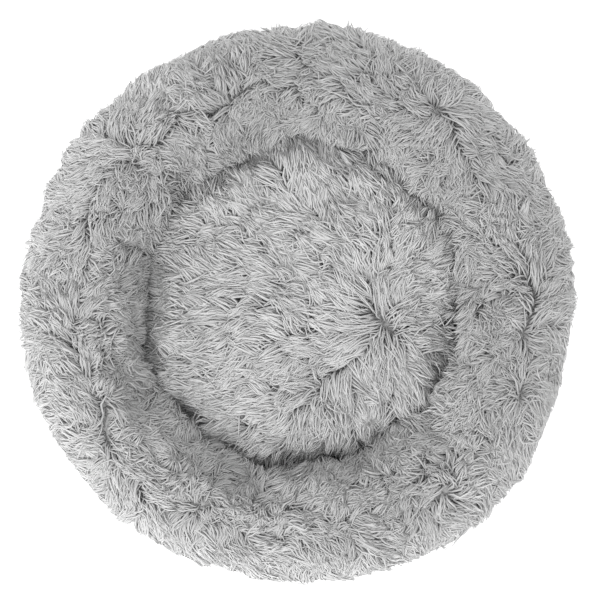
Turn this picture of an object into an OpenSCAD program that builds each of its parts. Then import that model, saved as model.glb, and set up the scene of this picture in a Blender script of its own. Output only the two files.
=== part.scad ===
// Round plush pet bed: a stuffed ring bolster on a padded base, a loose cushion in its nest,
// and a zip across the underside through which the bolster comes out for washing.
// Millimetres, +Z up. The origin is the centre of the bed on the floor.

/* [Bed] */
// Outside diameter over the brushed pile
bed_d = 596; // [400:2:1000]
// Height of the ring bolster above the floor
bed_h = 150; // [120:1:220]
// Direction of the first of the two cross seams that close the ring's fur, in degrees
cross_seam_at = 140; // [0:5:180]

/* [Ring bolster] */
// Width of the bolster's section
ring_w = 128; // [100:1:200]
// Thickness of the fur fabric with its pile laid down
fur_t = 12; // [6:0.5:20]
// Thickness of the nonwoven bag that holds the bolster's filling
liner_t = 0.6; // [0.4:0.1:1.2]
// Squareness of the section's lower half: 1 is an ellipse, less is squarer
lower_round = 0.6; // [0.4:0.05:1]

/* [Cushion] */
// Play between the cushion and the narrowest part of the nest, on each side
nest_play = 4; // [2:0.5:10]
// Height of the cushion's crown above the floor
crown_z = 92; // [60:1:110]
// Height of the seam round the cushion's side
cushion_seam_z = 26; // [20:1:34]
// Thickness of the cushion's plain base cloth
cushion_cloth_t = 0.8; // [0.5:0.1:1.5]

/* [Base] */
// Diameter of the base panel, where the fur is sewn to it
base_d = 524; // [360:2:900]
// Thickness of the woven base cloth
base_cloth_t = 0.6; // [0.4:0.1:1]
// Thickness of the wadding between the base cloth and the nest's floor
wadding_t = 8; // [6:0.5:12]
// Diameter of one grip dot
dot_d = 5; // [3:0.5:8]
// Spacing of the grip dots
dot_pitch = 24; // [16:1:40]

/* [Zip] */
// Length of the closed row of teeth
chain_l = 360; // [240:10:500]
// Pitch of the coil's turns
coil_pitch = 1.8; // [1.4:0.1:2.5]
// Length of the slider's body
slider_l = 12; // [9:0.5:15]
// Width of the slider's body
slider_w = 10; // [9:0.5:12]
// Length of the pull tab from its hinge
pull_l = 24; // [18:1:26]
// Width of the pull tab
pull_w = 6; // [5:0.5:7]

/* [Seams and label] */
// Pitch of the stitches along the zip
zip_stitch_pitch = 4; // [3:0.5:8]
// Number of stitches round the base seam
base_stitches = 160; // [80:10:240]
// Length of the folded care label
label_l = 40; // [30:1:60]
// Width of the care label
label_w = 25; // [20:1:40]

/* [Hidden] */
$fn = 96;

fur_grey = "#b4b4b4";
cloth_grey = "#8c8c8c";
fibre_white = "#f2f2ee";
liner_white = "#e4e4e0";
thread_grey = "#9a9a9a";
pvc_black = "#2a2a2a";
metal_grey = "#a5a7aa";

clear = 0.4;            // gap left between soft pieces that lie on each other
section_step = 7.5;     // angle between the points of a curved section

// heights of the base's layers
dot_t = 0.8;
coat_t = 0.2;
base_z = dot_t + coat_t;
wadding_z = base_z + base_cloth_t + clear / 2;
nest_z = wadding_z + wadding_t + clear / 2;
nest_top = nest_z + base_cloth_t;
cushion_z = nest_top + 2 * clear;

// the ring's section
ring_r = (bed_d - ring_w) / 2;
ring_low = 3;
nest_r = ring_r - ring_w / 2;
cushion_r = nest_r - nest_play;
base_r = base_d / 2;
foot_r = nest_r + 8;            // where the fur's inner edge meets the nest's floor
foot_w = 4;
foot_h = 22;                    // height of the fur's inner edge where it turns down

// the zip, whose trough keeps the slider and the pull off the floor
tape_z = 7;
tape_t = 0.6;
tape_w = 14;
coil_t = 2;
coil_gap = 0.7;                 // from the middle to the tips of the teeth
tooth_l = 1.5;
spine_w = 1.2;
trough_l = chain_l + 50;
trough_w = 40;
window_w = 12.4;                // clear width between the folded edges of the base cloth
fold_w = 12;                    // half-width at which the trough's slope ends
slider_at = chain_l / 2 - 8;
plate_t = 1;
plate_z = tape_z - coil_t - 1.6;
slider_top = tape_z + tape_t + 0.3;
hinge_x = slider_at + 2.7;
hinge_z = plate_z - 0.65;
bail_z = hinge_z - 1.25;

function power(c, e) = sign(c) * pow(abs(c), e);

// Points round the bolster's section: elliptical above its middle, squarer below it
function ring_section(half_w, low, high) = [
    for (a = [0 : section_step : 360 - section_step])
        let (e = a > 180 ? lower_round : 1)
        [ring_r + half_w * power(cos(a), e), (low + high) / 2 + (high - low) / 2 * power(sin(a), e)]
];

// Half the cushion's section, from the middle of its underside round its edge to its crown
function cushion_section(inset) =
    let (r = cushion_r - inset, middle = cushion_z + 19, low = cushion_z + inset, high = crown_z - inset)
    concat(
        [for (a = [-90 : section_step : 0])
            [r * power(cos(a), 0.3), middle + (middle - low) * power(sin(a), 0.7)]],
        [for (a = [section_step : section_step : 90])
            [r * power(cos(a), 0.4), middle + (high - middle) * power(sin(a), 0.9)]]
    );

module ring_solid(half_w, low, high) {
    rotate_extrude() polygon(ring_section(half_w, low, high));
}

// The fur's section: a horseshoe open at the bottom, whose two edges turn down to their seams
module fur_horseshoe() {
    difference() {
        polygon(ring_section(ring_w / 2, ring_low, bed_h));
        polygon(ring_section(ring_w / 2 - fur_t, nest_top, bed_h - fur_t));
        translate([foot_r, 0]) square([base_r - foot_r, nest_top + 4]);
    }
    translate([foot_r - foot_w, nest_top + clear]) square([foot_w, foot_h]);
    translate([base_r - foot_w, base_z + base_cloth_t]) square([2 * foot_w, 8]);
}

// One of the two strips of fur, which meet at cross seams on opposite sides
module fur_strip(start) {
    color(fur_grey) rotate([0, 0, start]) rotate_extrude(angle = 179.9) fur_horseshoe();
}

module ring_fur_front_left() fur_strip(cross_seam_at);

module ring_fur_back_right() fur_strip(cross_seam_at + 180);

module ring_liner() {
    outer_half = ring_w / 2 - fur_t - clear;
    color(liner_white) difference() {
        ring_solid(outer_half, nest_top + clear, bed_h - fur_t - clear);
        ring_solid(outer_half - liner_t, nest_top + clear + liner_t, bed_h - fur_t - clear - liner_t);
    }
}

module ring_filling() {
    inset = clear + liner_t + clear;
    color(fibre_white) ring_solid(ring_w / 2 - fur_t - inset, nest_top + inset, bed_h - fur_t - inset);
}

module nest_floor_panel() {
    color(cloth_grey) translate([0, 0, nest_z]) cylinder(r = foot_r, h = base_cloth_t);
}

module base_wadding() {
    color(fibre_white) difference() {
        translate([0, 0, wadding_z]) cylinder(r = base_r - 2 * foot_w, h = wadding_t);
        translate([-trough_l / 2 - 2, -trough_w / 2 - 2, 0]) cube([trough_l + 4, trough_w + 4, nest_z]);
    }
}

// The half of a disc on the +Y side, with room left for the zip's trough
module half_disc(r, t) {
    difference() {
        cylinder(r = r, h = t);
        translate([-r - 1, -2 * r, -1]) cube([2 * r + 2, 2 * r, t + 2]);
        translate([-trough_l / 2, -1, -1]) cube([trough_l, trough_w / 2 + 1, t + 2]);
    }
}

// Half of the base cloth: it slopes up to the zip, and closes the trough at both ends
module base_half() {
    translate([0, 0, base_z]) half_disc(base_r, base_cloth_t);
    translate([-trough_l / 2, 0, 0]) rotate([90, 0, 90]) linear_extrude(trough_l) polygon([
        [trough_w / 2, base_z], [trough_w / 2, base_z + base_cloth_t],
        [fold_w, tape_z], [window_w / 2, tape_z],
        [window_w / 2, tape_z - base_cloth_t], [fold_w - 0.5, tape_z - base_cloth_t],
        [trough_w / 2 - 0.5, base_z],
    ]);
    for (end = [-1, 1])
        translate([end * (trough_l + base_cloth_t) / 2 - base_cloth_t / 2, 0, base_z])
            cube([base_cloth_t, trough_w / 2, tape_z - base_z]);
}

module base_panel_back() {
    color(cloth_grey) base_half();
}

module base_panel_front() {
    color(cloth_grey) mirror([0, 1, 0]) base_half();
}

// The grip coat on one half of the base: dots on the thin film that carries them
module grip_half() {
    row_h = dot_pitch * sqrt(3) / 2;
    reach = base_r - 16;
    rows = floor(reach / row_h);
    translate([0, 0, dot_t]) difference() {
        half_disc(reach + dot_d, coat_t);
        translate([-trough_l / 2 - 3, -1, -1]) cube([trough_l + 6, trough_w / 2 + 3, coat_t + 2]);
    }
    for (row = [1 : rows], column = [-rows : rows]) {
        x = (column + (row % 2) / 2) * dot_pitch;
        y = row * row_h;
        if (norm([x, y]) < reach && (y > trough_w / 2 + 8 || abs(x) > trough_l / 2 + 8))
            translate([x, y, 0]) cylinder(d = dot_d, h = dot_t + coat_t / 2);
    }
}

module grip_dots_back() {
    color(pvc_black) grip_half();
}

module grip_dots_front() {
    color(pvc_black) mirror([0, 1, 0]) grip_half();
}

module base_seam_stitching() {
    color(thread_grey) for (i = [0 : base_stitches - 1])
        rotate([0, 0, (i + 0.5) * 360 / base_stitches])
            translate([base_r - 4, -3, base_z - 0.35]) cube([0.6, 6, 0.3]);
}

module tape() {
    color(cloth_grey) translate([-chain_l / 2 - 20, coil_gap + tooth_l, tape_z + 0.05])
        cube([chain_l + 40, tape_w, tape_t]);
}

module zip_tape_back() tape();

module zip_tape_front() mirror([0, 1, 0]) tape();

// One side's coil as a comb: a row of turns on the edge that is sewn to the tape
module coil(shift) {
    turns = floor((chain_l - 2 * coil_pitch) / coil_pitch);
    start = -turns * coil_pitch / 2 + shift;
    outline = concat(
        [[start, coil_gap + tooth_l + spine_w]],
        [for (i = [0 : turns - 1], p = [[0, 1], [0, 0], [0.5, 0], [0.5, 1]])
            [start + (i + p[0]) * coil_pitch, coil_gap + p[1] * tooth_l]],
        [[start + (turns - 0.5) * coil_pitch, coil_gap + tooth_l + spine_w]]
    );
    color(thread_grey) translate([0, 0, tape_z - coil_t]) linear_extrude(coil_t) polygon(outline);
}

module zip_coil_back() coil(0);

module zip_coil_front() mirror([0, 1, 0]) coil(coil_pitch / 2);

// The two crimps that stop the slider where the zip is closed
module zip_top_stops() {
    color(metal_grey) for (side = [-1, 1])
        translate([chain_l / 2 + 1, side * 2.6 - 1.3, tape_z - coil_t]) cube([3, 2.6, coil_t]);
}

// The box that joins the two tapes where the zip is fully open
module zip_bottom_stop() {
    color(metal_grey) translate([-chain_l / 2 - 4, -3.5, tape_z - coil_t]) cube([3, 7, coil_t]);
}

module zip_stitching() {
    count = floor(chain_l / zip_stitch_pitch);
    color(thread_grey) for (side = [-1, 1], i = [0 : count])
        translate([(i - count / 2) * zip_stitch_pitch - 1.3, side * 9 - 0.25, tape_z - base_cloth_t - 0.35])
            cube([2.6, 0.5, 0.3]);
}

// The slider's two plates with their side flanges, the post that joins them and the bail
module zip_slider() {
    color(metal_grey) translate([slider_at, 0, 0]) {
        translate([-slider_l / 2, -slider_w / 2, plate_z]) cube([slider_l, slider_w, plate_t]);
        translate([-slider_l / 2, -slider_w / 2, slider_top]) cube([slider_l, slider_w, plate_t]);
        for (side = [-1, 1])
            translate([-slider_l / 2, side * (slider_w / 2 - 0.4) - 0.4, plate_z])
                cube([slider_l, 0.8, tape_z - 0.3 - plate_z]);
        translate([slider_l / 2 - 3, -0.45, plate_z]) cube([3, 0.9, slider_top + plate_t - plate_z]);
        rotate([90, 0, 0]) translate([0, 0, -0.6]) linear_extrude(1.2) polygon([
            [-4.3, plate_z + 0.2], [-4.3, bail_z], [4.3, bail_z], [4.3, plate_z + 0.2],
            [3.5, plate_z + 0.2], [3.5, bail_z + 0.6], [-3.5, bail_z + 0.6], [-3.5, plate_z + 0.2],
        ]);
    }
}

// The pull hangs on the bail by its round bar and lies back along the closed teeth
module zip_pull() {
    eye_l = 8.6;
    side_w = 1.4;
    color(metal_grey) translate([hinge_x, 0, hinge_z]) {
        rotate([90, 0, 0]) cylinder(d = 1, h = pull_w, center = true);
        difference() {
            union() {
                translate([-pull_l + pull_w / 2, -pull_w / 2, -0.5]) cube([pull_l - pull_w / 2, pull_w, 1]);
                translate([-pull_l + pull_w / 2, 0, -0.5]) cylinder(d = pull_w, h = 1);
            }
            translate([-eye_l, -pull_w / 2 + side_w, -1]) cube([eye_l + 1, pull_w - 2 * side_w, 2]);
            translate([-pull_l + 4, 0, -1]) cylinder(d = 2.6, h = 2);
        }
    }
}

module cushion_shell(thickness) {
    rotate_extrude() difference() {
        polygon(cushion_section(0));
        polygon(cushion_section(thickness));
    }
}

module cushion_fur_top() {
    color(fur_grey) intersection() {
        cushion_shell(fur_t - 2);
        translate([0, 0, cushion_seam_z + clear / 2]) cylinder(r = cushion_r + 1, h = crown_z);
    }
}

module cushion_base_cloth() {
    color(cloth_grey) intersection() {
        cushion_shell(cushion_cloth_t);
        cylinder(r = cushion_r + 1, h = cushion_seam_z - clear / 2);
    }
}

// The filling keeps to the fur's inside above the seam and to the cloth's inside below it
module cushion_filling() {
    color(fibre_white) rotate_extrude() {
        polygon(cushion_section(fur_t - 2 + clear));
        intersection() {
            polygon(cushion_section(cushion_cloth_t + clear));
            square([cushion_r, cushion_seam_z - clear]);
        }
    }
}

module cushion_seam_stitching() {
    count = floor(base_stitches * 0.6);
    color(thread_grey) for (i = [0 : count - 1])
        rotate([0, 0, (i + 0.5) * 360 / count])
            translate([cushion_r + 0.1, -3, cushion_seam_z - 0.3]) cube([0.5, 6, 0.6]);
}

// The blank label is sewn into the cushion's seam and lies folded under the cushion
module care_label() {
    color(fibre_white) translate([-label_w / 2, -cushion_r + 30, cushion_z - clear - 0.1])
        cube([label_w, label_l, 0.3]);
}

ring_fur_front_left();
ring_fur_back_right();
ring_liner();
ring_filling();
nest_floor_panel();
base_wadding();
base_panel_front();
base_panel_back();
grip_dots_front();
grip_dots_back();
base_seam_stitching();
zip_tape_front();
zip_tape_back();
zip_coil_front();
zip_coil_back();
zip_top_stops();
zip_bottom_stop();
zip_stitching();
zip_slider();
zip_pull();
cushion_fur_top();
cushion_base_cloth();
cushion_filling();
cushion_seam_stitching();
care_label();
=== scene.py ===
# %% [markdown]
# # A round plush pet bed
# The bed is a stuffed ring sewn to a padded base, with a loose cushion in its nest, all in
# long-pile fur. This lesson builds its looks around a finished CAD model: the frame gives
# every size and place, and each soft piece is modelled, simulated and then given its pile.

# %% Load the frame
import math

import bmesh
import bpy
import numpy as np
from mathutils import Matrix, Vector, kdtree


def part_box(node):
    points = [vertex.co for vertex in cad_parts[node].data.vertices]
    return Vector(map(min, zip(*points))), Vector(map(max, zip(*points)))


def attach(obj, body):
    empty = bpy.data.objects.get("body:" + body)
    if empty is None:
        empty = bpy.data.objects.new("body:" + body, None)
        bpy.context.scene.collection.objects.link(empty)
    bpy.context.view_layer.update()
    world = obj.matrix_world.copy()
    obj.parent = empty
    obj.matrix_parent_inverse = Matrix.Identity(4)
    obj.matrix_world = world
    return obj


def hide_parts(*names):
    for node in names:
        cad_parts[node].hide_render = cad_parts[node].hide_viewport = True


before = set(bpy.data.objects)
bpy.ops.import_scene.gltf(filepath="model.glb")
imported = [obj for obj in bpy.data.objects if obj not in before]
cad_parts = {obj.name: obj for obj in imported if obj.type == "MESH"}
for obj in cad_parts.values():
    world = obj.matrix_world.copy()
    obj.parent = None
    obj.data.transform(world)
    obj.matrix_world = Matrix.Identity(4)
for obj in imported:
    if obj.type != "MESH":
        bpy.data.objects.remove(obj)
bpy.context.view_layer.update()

MM = 0.001
print("the frame has", len(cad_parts), "nodes")


# %% [markdown]
# ## Sizes
# Every size comes from the frame's own boxes, so the looks can't drift from the design. The
# fur's backing cloth lies one pile's depth inside the box that the fur fills.

# %% Sizes from the frame
def corners(node):
    low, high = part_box(node)
    return np.array(low), np.array(high)


def widest(*nodes):
    lows, highs = zip(*(corners(node) for node in nodes))
    return np.min(lows, axis=0), np.max(highs, axis=0)


RING_NODES = ("ring_fur_front_left", "ring_fur_back_right")
ring_low, ring_high = widest(*RING_NODES)
cushion_low, cushion_high = widest("cushion_fur_top", "cushion_base_cloth")
seam_z = corners("cushion_base_cloth")[1][2]

PILE_LENGTH = 33 * MM
PILE_DEPTH = 13 * MM
RING_OUTSIDE = ring_high[1]
RING_TOP = ring_high[2]
RING_WIDTH = 128 * MM
RING_MIDDLE = RING_OUTSIDE - RING_WIDTH / 2
CUSHION_OUTSIDE = cushion_high[1]
CUSHION_TOP = cushion_high[2]
print("ring", RING_OUTSIDE, RING_TOP, "cushion", CUSHION_OUTSIDE, CUSHION_TOP)


# %% [markdown]
# ## Pieces
# A finished piece is a mesh that moves with its body and stands in for a CAD node, which it hides.
# These helpers are used for every piece. Cloth is drawn as one face and thickened afterwards,
# which is easier than modelling both its sides.

# %% Making pieces
def placed(name, mesh):
    piece = bpy.data.objects.new(name, mesh)
    bpy.context.scene.collection.objects.link(piece)
    return piece


def mesh_piece(name, points, faces):
    """A smooth piece of points and faces."""
    mesh = bpy.data.meshes.new(name)
    mesh.from_pydata(np.asarray(points).reshape(-1, 3).tolist(), [], faces)
    mesh.shade_smooth()
    return placed(name, mesh)


def thick(piece, thickness, offset):
    """Gives a sheet its real thickness, inwards where offset is -1."""
    solid = piece.modifiers.new("thickness", "SOLIDIFY")
    solid.thickness = thickness
    solid.offset = offset
    return piece


def wear(piece, node, body):
    """Hangs a piece from the body it moves with and hides the CAD node it stands for."""
    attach(piece, body)
    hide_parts(node)
    return piece


# %% [markdown]
# ## Smooth chance
# Fur is never regular, but it isn't random from hair to hair either: neighbours lean alike.
# Value noise does that. Random values sit on a coarse lattice, and every point between them
# gets a smooth blend of the eight round it.

# %% Value noise
def drift(points, size, seed):
    """A smooth random value from -1 to 1 at each point; size is the width of its patches."""
    grid = np.random.default_rng(seed).uniform(-1, 1, (32, 32, 32))
    place = points / size + 16
    cell = np.floor(place).astype(int)
    part = place - cell
    part = part * part * (3 - 2 * part)
    total = np.zeros(len(points))
    for corner in np.ndindex(2, 2, 2):
        share = np.prod(np.where(corner, part, 1 - part), axis=1)
        index = (cell + corner) % 32
        total += share * grid[index[:, 0], index[:, 1], index[:, 2]]
    return total


def unit(vectors):
    return vectors / np.maximum(np.linalg.norm(vectors, axis=1, keepdims=True), 1e-9)


def bump(angle, centre, reach):
    """1 where angle is at centre, fading to 0 a few reaches away; all in degrees."""
    apart = (angle - centre + 180) % 360 - 180
    return np.exp(-((apart / reach) ** 2))


print("drift at the middle", drift(np.zeros((1, 3)), 20 * MM, 1))


# %% [markdown]
# ## The ring's shape
# A stuffed tube is never a perfect ring: filling shifts, so it bulges in some places and gives
# in others. The section is an ellipse above its middle and squarer below, where its own
# weight flattens it. Bulges and hollows are listed by their direction, size and reach.

# %% Uneven places
BULGES = [  # direction in degrees, outwards in mm, reach in degrees
    (68, 4, 22), (310, 5, 28), (190, 2, 20), (345, -5, 14), (162, -4, 10), (130, -4, 9),
]
HOLLOWS = [  # direction in degrees, how far the inner wall gives outwards in mm, reach
    (30, 10, 14), (60, 9, 12), (-12, -4, 12), (-90, -10, 22), (168, -7, 20), (-122, 4, 12),
    (162, 8, 5), (124, -6, 8), (97, 4, 8), (46, -5, 5), (-41, 6, 7), (-106, 6, 7),
    (-174, -4, 8), (-133, -5, 5), (78, -4, 5), (8, 3, 5), (-70, 4, 6), (-150, 5, 6),
]
CREST = [  # direction in degrees, height of the crest in mm, reach
    (20, -5, 10), (82, -4, 9), (141, -6, 9), (-40, -6, 9), (-97, -5, 10), (200, -4, 12),
    (110, 2, 14), (-70, 3, 14), (50, 3, 10), (170, 2, 12), (-160, 3, 16),
]
INNER_GIVE = 6 * MM  # how far the nest's wall leans back under its fur
OUTER_GIVE = 5 * MM
UNDER_GAP = 2 * MM  # between the base and the underside of the tube's cloth
SQUARE_UNDER = 0.6  # below 1, the section is squarer than an ellipse


def nest_give(degrees):
    """How far the nest's wall gives outwards in each direction; the cushion fills it there."""
    return sum(size * MM * bump(degrees, at, reach) for at, size, reach in HOLLOWS)


print("the nest's wall gives", round(nest_give(0.0) / MM, 1), "mm on its right")


# %% Ring tube
def ring_grid(around, along, inset):
    """Points of the tube, around by along, inset from the box that the fur fills."""
    turn = np.linspace(0, 2 * math.pi, around, endpoint=False)
    section = np.linspace(0, 2 * math.pi, along, endpoint=False)
    turn, section = np.meshgrid(turn, section, indexing="ij")
    degrees = np.degrees(turn)
    out = sum(size * MM * bump(degrees, at, reach) for at, size, reach in BULGES)
    give = nest_give(degrees)
    rise = sum(size * MM * bump(degrees, at, reach) for at, size, reach in CREST)
    power = np.where(np.sin(section) < 0, SQUARE_UNDER, 1.0)
    across = np.sign(np.cos(section)) * np.abs(np.cos(section)) ** power
    up = np.sign(np.sin(section)) * np.abs(np.sin(section)) ** power
    low = ring_low[2] + UNDER_GAP
    high = RING_TOP - inset
    middle = (low + high) / 2
    radius = RING_MIDDLE + (RING_WIDTH / 2 - inset) * across
    radius += np.where(across > 0, (out - OUTER_GIVE) * across, (INNER_GIVE + give) * -across)
    z = middle + (high - middle) * up + np.where(up > 0, rise * up, 0)
    return np.stack([radius * np.cos(turn), radius * np.sin(turn), z], axis=2), section


def closed_tube(name, grid):
    """A mesh of quads over a grid that closes on itself both ways."""
    around, along = grid.shape[:2]
    index = np.arange(around * along).reshape(around, along)
    right = np.roll(index, -1, axis=0)
    quads = np.stack([index, right, np.roll(right, -1, axis=1), np.roll(index, -1, axis=1)], axis=2)
    return mesh_piece(name, grid, quads.reshape(-1, 4).tolist())


RING_AROUND = 216
RING_ALONG = 60
ring_points, ring_section = ring_grid(RING_AROUND, RING_ALONG, PILE_DEPTH)
ring_tube = closed_tube("ring_tube", ring_points)
print("ring tube", len(ring_tube.data.vertices), "points")


# %% [markdown]
# ## Stuffing by cloth simulation
# The ring and the cushion are cloth bags blown up by fibre. Cloth simulation with inside
# pressure gives that swell, and where a seam holds the cloth back it gathers into folds. The
# cloth is cut a little larger than its bag, and the seam that stays on the base is pinned.
# No point may move further than a cap, so the piece keeps its place.

# %% Stuffing
def coordinates(mesh):
    flat = np.zeros(len(mesh.vertices) * 3)
    mesh.vertices.foreach_get("co", flat)
    return flat.reshape(-1, 3)


def move_to(mesh, points):
    mesh.vertices.foreach_set("co", points.ravel())
    mesh.update()


def stuff(piece, pinned, pressure, extra, cap, frames=20):
    """Blows piece up as cloth, holding the points where pinned is above 0."""
    before = coordinates(piece.data)
    group = piece.vertex_groups.new(name="seam")
    for index, weight in enumerate(pinned):
        if weight > 0:
            group.add([index], float(weight), "REPLACE")
    cloth = piece.modifiers.new("stuffing", "CLOTH")
    cloth.settings.quality = 6
    cloth.settings.mass = 0.3
    cloth.settings.tension_stiffness = 15
    cloth.settings.compression_stiffness = 15
    cloth.settings.bending_stiffness = 0.5
    cloth.settings.shrink_min = -extra
    cloth.settings.use_pressure = True
    cloth.settings.uniform_pressure_force = pressure
    cloth.settings.effector_weights.gravity = 0
    cloth.settings.vertex_group_mass = "seam"
    cloth.collision_settings.use_collision = False
    cloth.point_cache.frame_end = frames
    for frame_number in range(1, frames + 1):
        bpy.context.scene.frame_set(frame_number)
    swollen = piece.evaluated_get(bpy.context.evaluated_depsgraph_get())
    after = coordinates(swollen.data)
    piece.modifiers.clear()
    piece.vertex_groups.clear()
    bpy.context.scene.frame_set(1)
    moved = after - before
    length = np.linalg.norm(moved, axis=1, keepdims=True)
    move_to(piece.data, before + moved * cap * np.tanh(length / cap) / np.maximum(length, 1e-9))
    print(piece.name, "swelled by up to", round(float(length.max() / MM), 1), "mm")


SEWN_BELOW = 14 * MM  # the tube is held by its seams up to this height
low_down = ring_points[..., 2].ravel() < ring_low[2] + SEWN_BELOW
sewn = low_down & (np.sin(ring_section.ravel()) < 0)
stuff(ring_tube, np.where(sewn, 1.0, 0.0), pressure=1.5, extra=0.05, cap=9 * MM)


# %% [markdown]
# ## The cushion
# The loose cushion is two round panels, fur above and plain cloth below, joined by one seam
# round the side. It is flat underneath, crowned on top, and pulled in at the seam. It is
# made as rings of points from the middle of its underside to its crown.

# %% Cushion shape
CUSHION_AROUND = 144
CUSHION_UNDER = 14
CUSHION_OVER = 26
CUSHION_PILE_DEPTH = 8 * MM
CUSHION_EDGE = CUSHION_OUTSIDE + 4 * MM
CUSHION_BULGE = 8 * MM  # over its seam the cushion swells until the nest's wall stops it
CUSHION_FOLLOWS = 0.8  # how much of the nest's unevenness the cushion takes up
CUSHION_SHIFT = np.array([5 * MM, 5 * MM, 0])
SQUARE_EDGES = (0.3, 0.15)  # under and over the seam; the nearer to 0, the flatter the face
FULLNESS = (0.7, 0.8)  # under and over; the nearer to 0, the sooner the side is upright
CUSHION_DIPS = [  # direction in degrees, radius in mm, depth in mm, reach in mm
    (60, 70, 3, 45), (-35, 105, 4, 40), (170, 95, 3, 45), (-110, 100, 4, 40),
]


def cushion_rings():
    """Rings of points from the middle of the underside to the crown, middles left out."""
    rings = []
    for step in range(1, CUSHION_UNDER + 1):
        share = step / CUSHION_UNDER
        angle = -math.pi / 2 * (1 - share)
        radius = CUSHION_EDGE * math.cos(angle) ** SQUARE_EDGES[0] if share < 1 else CUSHION_EDGE
        z = seam_z - (seam_z - cushion_low[2]) * (-math.sin(angle)) ** FULLNESS[0]
        rings.append((radius, z))
    for step in range(1, CUSHION_OVER):
        angle = math.pi / 2 * step / CUSHION_OVER
        top = CUSHION_TOP - CUSHION_PILE_DEPTH
        z = seam_z + (top - seam_z) * math.sin(angle) ** FULLNESS[1]
        radius = CUSHION_EDGE + CUSHION_BULGE * math.sin(2 * angle)
        rings.append((radius * math.cos(angle) ** SQUARE_EDGES[1], z))
    return rings


def closed_pad(name, rings, around, low, high):
    """A closed mesh of rings of points about Z, with a point at its bottom and its top."""
    turn = np.linspace(0, 2 * math.pi, around, endpoint=False)
    points = [(0, 0, low)]
    for radius, z in rings:
        points += [(radius * math.cos(a), radius * math.sin(a), z) for a in turn]
    points.append((0, 0, high))
    faces = []
    for step in range(around):
        after = (step + 1) % around
        faces.append((0, 1 + after, 1 + step))
        for ring in range(len(rings) - 1):
            a = 1 + ring * around
            faces.append((a + step, a + after, a + around + after, a + around + step))
        last = 1 + (len(rings) - 1) * around
        faces.append((last + step, last + after, len(points) - 1))
    return mesh_piece(name, points, faces)


print("cushion rings", len(cushion_rings()))


# %% Cushion pad
cushion_pad = closed_pad(
    "cushion_pad", cushion_rings(), CUSHION_AROUND, cushion_low[2], CUSHION_TOP - CUSHION_PILE_DEPTH
)
pad_points = coordinates(cushion_pad.data)
pad_turn = np.degrees(np.arctan2(pad_points[:, 1], pad_points[:, 0]))
pad_points[:, :2] *= 1 + CUSHION_FOLLOWS * nest_give(pad_turn)[:, None] / CUSHION_EDGE
pad_points += CUSHION_SHIFT
for degrees, radius, depth, reach in CUSHION_DIPS:
    a = math.radians(degrees)
    apart = np.hypot(pad_points[:, 0] - radius * MM * math.cos(a),
                     pad_points[:, 1] - radius * MM * math.sin(a))
    dip = depth * MM * np.exp(-((apart / (reach * MM)) ** 2))
    pad_points[:, 2] -= np.where(pad_points[:, 2] > seam_z, dip, 0)
move_to(cushion_pad.data, pad_points)
seam_row = np.abs(pad_points[:, 2] - seam_z) < 0.5 * MM
stuff(cushion_pad, np.where(seam_row, 1.0, 0.0), pressure=2, extra=0.04, cap=6 * MM)
pad_points = coordinates(cushion_pad.data)
pad_points[:, 2] = np.maximum(pad_points[:, 2], cushion_low[2])
move_to(cushion_pad.data, pad_points)
print("cushion", len(pad_points), "points")


# %% [markdown]
# ## Cutting the backings
# The fur is a knitted backing that carries the pile. The ring's is sewn from two strips, so the
# tube is cut at the two cross seams, and the cushion's bag is cut at its seam into the fur
# top and the plain base cloth. Each gets its real thickness.

# %% Cutting
CROSS_SEAM = 140
BACKING_THICKNESS = 1.2 * MM
CLOTH_THICKNESS = 0.5 * MM
SEAM_ALLOWANCE = 8 * MM


def cut_out(source, name, keep, thickness):
    """A new piece of the faces of source for which keep(middle) is true, made thick inwards."""
    mesh = source.data
    middles = np.array([face.center for face in mesh.polygons])
    wanted = np.nonzero(keep(middles))[0]
    corners_of = [list(mesh.polygons[int(i)].vertices) for i in wanted]
    used = sorted({v for face in corners_of for v in face})
    new_index = {old: new for new, old in enumerate(used)}
    faces = [[new_index[v] for v in face] for face in corners_of]
    return thick(mesh_piece(name, coordinates(mesh)[used], faces), thickness, -1)


def in_front_left(points):
    degrees = np.degrees(np.arctan2(points[:, 1], points[:, 0]))
    return (degrees - CROSS_SEAM) % 360 < 180


def on_walls(points):
    """The ring's fur ends at two seams and is open underneath, where the ring sits on its base."""
    radius = np.hypot(points[:, 0], points[:, 1])
    inner, outer = nest_high[0], base_high[0] - SEAM_ALLOWANCE
    return (points[:, 2] > nest_high[2] + 2 * MM) | (radius < inner) | (radius > outer)


def lining(source, name, depth, floor_z):
    """A closed copy of source, that deep inside it and never below floor_z."""
    mesh = source.data.copy()
    mesh.name = name
    normals = np.array([v.normal for v in mesh.vertices])
    points = coordinates(mesh) - depth * normals
    points[:, 2] = np.maximum(points[:, 2], floor_z)
    move_to(mesh, points)
    return placed(name, mesh)


print("the cross seam is at", CROSS_SEAM, "degrees")


# %% Backings
nest_low, nest_high = corners("nest_floor_panel")
base_high = widest("base_panel_front", "base_panel_back")[1]
front_left = cut_out(
    ring_tube, "ring_fur_front_left_backing",
    lambda p: in_front_left(p) & on_walls(p), BACKING_THICKNESS
)
back_right = cut_out(
    ring_tube, "ring_fur_back_right_backing",
    lambda p: ~in_front_left(p) & on_walls(p), BACKING_THICKNESS
)
ring_liner = lining(ring_tube, "ring_liner_bag", 2 * MM, nest_high[2] + 0.4 * MM)
ring_filling = lining(ring_tube, "ring_filling_fibre", 4 * MM, nest_high[2] + 1.4 * MM)
cushion_filling = lining(cushion_pad, "cushion_filling_fibre", 2 * MM, cushion_low[2] + 1.2 * MM)
fur_top = cut_out(
    cushion_pad, "cushion_fur_top_backing", lambda p: p[:, 2] > seam_z, BACKING_THICKNESS
)
base_cloth = cut_out(
    cushion_pad, "cushion_base_cloth_panel", lambda p: p[:, 2] <= seam_z, CLOTH_THICKNESS
)
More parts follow.
